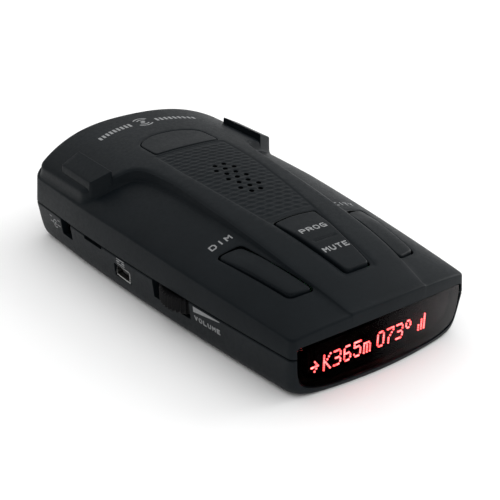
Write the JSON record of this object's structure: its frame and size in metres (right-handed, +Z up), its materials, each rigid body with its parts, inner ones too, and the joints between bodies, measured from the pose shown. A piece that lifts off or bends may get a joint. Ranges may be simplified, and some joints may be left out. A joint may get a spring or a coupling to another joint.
{
  "type": "radar detector",
  "caption": "Windscreen radar detector: tapered two-part case with crowned top, smoked display window, keys, volume thumbwheel, side sockets and a latch for its mount",
  "frame": {"origin": "under the middle of the case, on the plane it rests on", "axes": "display end towards -Y, antenna end towards +Y, sockets and thumbwheel on the -X side, +Z up"},
  "size_m": [0.0706, 0.1262, 0.032],
  "materials": {
    "case_plastic": "fine-textured charcoal black moulding",
    "key_plastic": "satin charcoal black moulding",
    "smoked_window": "polished dark smoked window",
    "display_glass_finish": "dark red display face",
    "circuit_board": "green solder mask",
    "black_resin": "moulded black resin",
    "tin_plate": "bright tin plate",
    "zinc_casting": "as-cast zinc",
    "steel": "plated steel",
    "brass": "turned brass",
    "ceramic": "fired patch ceramic",
    "paper_cone": "pressed paper cone",
    "label_film": "plain printed label film"
  },
  "bodies": {
    "case": {"top_case": "case_plastic", "bottom_case": "case_plastic", "display_lens": "smoked_window", "laser_window": "smoked_window", "usb_socket": "tin_plate", "dc_jack": "black_resin", "volume_potentiometer": "tin_plate", "rocker_cradle": "black_resin", "rocker_pin": "steel", "latch_pin": "steel", "dim_switch": "black_resin", "city_switch": "black_resin", "mute_switch": "black_resin", "prog_switch": "black_resin", "case_screw_front_left": "steel", "case_screw_front_right": "steel", "case_screw_back_left": "steel", "case_screw_back_right": "steel", "main_board": "circuit_board", "key_board": "circuit_board", "display_module": "display_glass_finish", "display_board": "circuit_board", "display_header": "black_resin", "processor_chip": "black_resin", "radar_chip": "black_resin", "mixer_shield": "tin_plate", "gps_receiver": "tin_plate", "gps_antenna": "ceramic", "voltage_regulator": "black_resin", "capacitor_1": "tin_plate", "capacitor_2": "tin_plate", "speaker_frame": "tin_plate", "speaker_cone": "paper_cone", "speaker_magnet": "steel", "horn_antenna": "zinc_casting", "laser_sensor": "black_resin", "usb_tongue": "black_resin", "dc_jack_pin": "brass", "board_screw_front": "steel", "board_screw_back": "steel", "key_board_post_back_left": "brass", "key_board_post_back_right": "brass", "key_board_post_front_left": "brass", "key_board_post_front_right": "brass", "serial_label": "label_film"},
    "dim_button": {"dim_button": "key_plastic"},
    "dim_plunger": {"dim_plunger": "key_plastic"},
    "city_button": {"city_button": "key_plastic"},
    "city_plunger": {"city_plunger": "key_plastic"},
    "prog_mute_key": {"prog_mute_key": "key_plastic"},
    "release_latch": {"release_latch": "key_plastic"},
    "volume_wheel": {"volume_wheel": "key_plastic"}
  },
  "joints": [
    {"name": "dim_button_press", "type": "slide", "parent": "case", "child": "dim_button", "axis": [0, 0, -1], "range_m": [0, 0.0005], "stiffness_N_per_m": 600},
    {"name": "dim_plunger_press", "type": "slide", "parent": "case", "child": "dim_plunger", "axis": [0, 0, -1], "range_m": [0, 0.0005]},
    {"name": "city_button_press", "type": "slide", "parent": "case", "child": "city_button", "axis": [0, 0, -1], "range_m": [0, 0.0005], "stiffness_N_per_m": 600},
    {"name": "city_plunger_press", "type": "slide", "parent": "case", "child": "city_plunger", "axis": [0, 0, -1], "range_m": [0, 0.0005]},
    {"name": "prog_mute_rock", "type": "hinge", "parent": "case", "child": "prog_mute_key", "pos_m": [0, -0.0377, 0.02064], "axis": [1, 0, 0], "range_deg": [-2.5, 2.5], "stiffness_Nm_per_rad": 0.05},
    {"name": "release_latch_tip", "type": "hinge", "parent": "case", "child": "release_latch", "pos_m": [0, 0.0338, 0.02833], "axis": [1, 0, 0], "range_deg": [0, 4], "stiffness_Nm_per_rad": 0.2},
    {"name": "volume_wheel_turn", "type": "hinge", "parent": "case", "child": "volume_wheel", "pos_m": [-0.02513, -0.0152, 0.00885], "axis": [0, 0, 1], "range_deg": [-140, 140]}
  ],
  "couplings": [
    {"joint": "dim_plunger_press", "follows": "dim_button_press", "ratio": 1},
    {"joint": "city_plunger_press", "follows": "city_button_press", "ratio": 1}
  ]
}
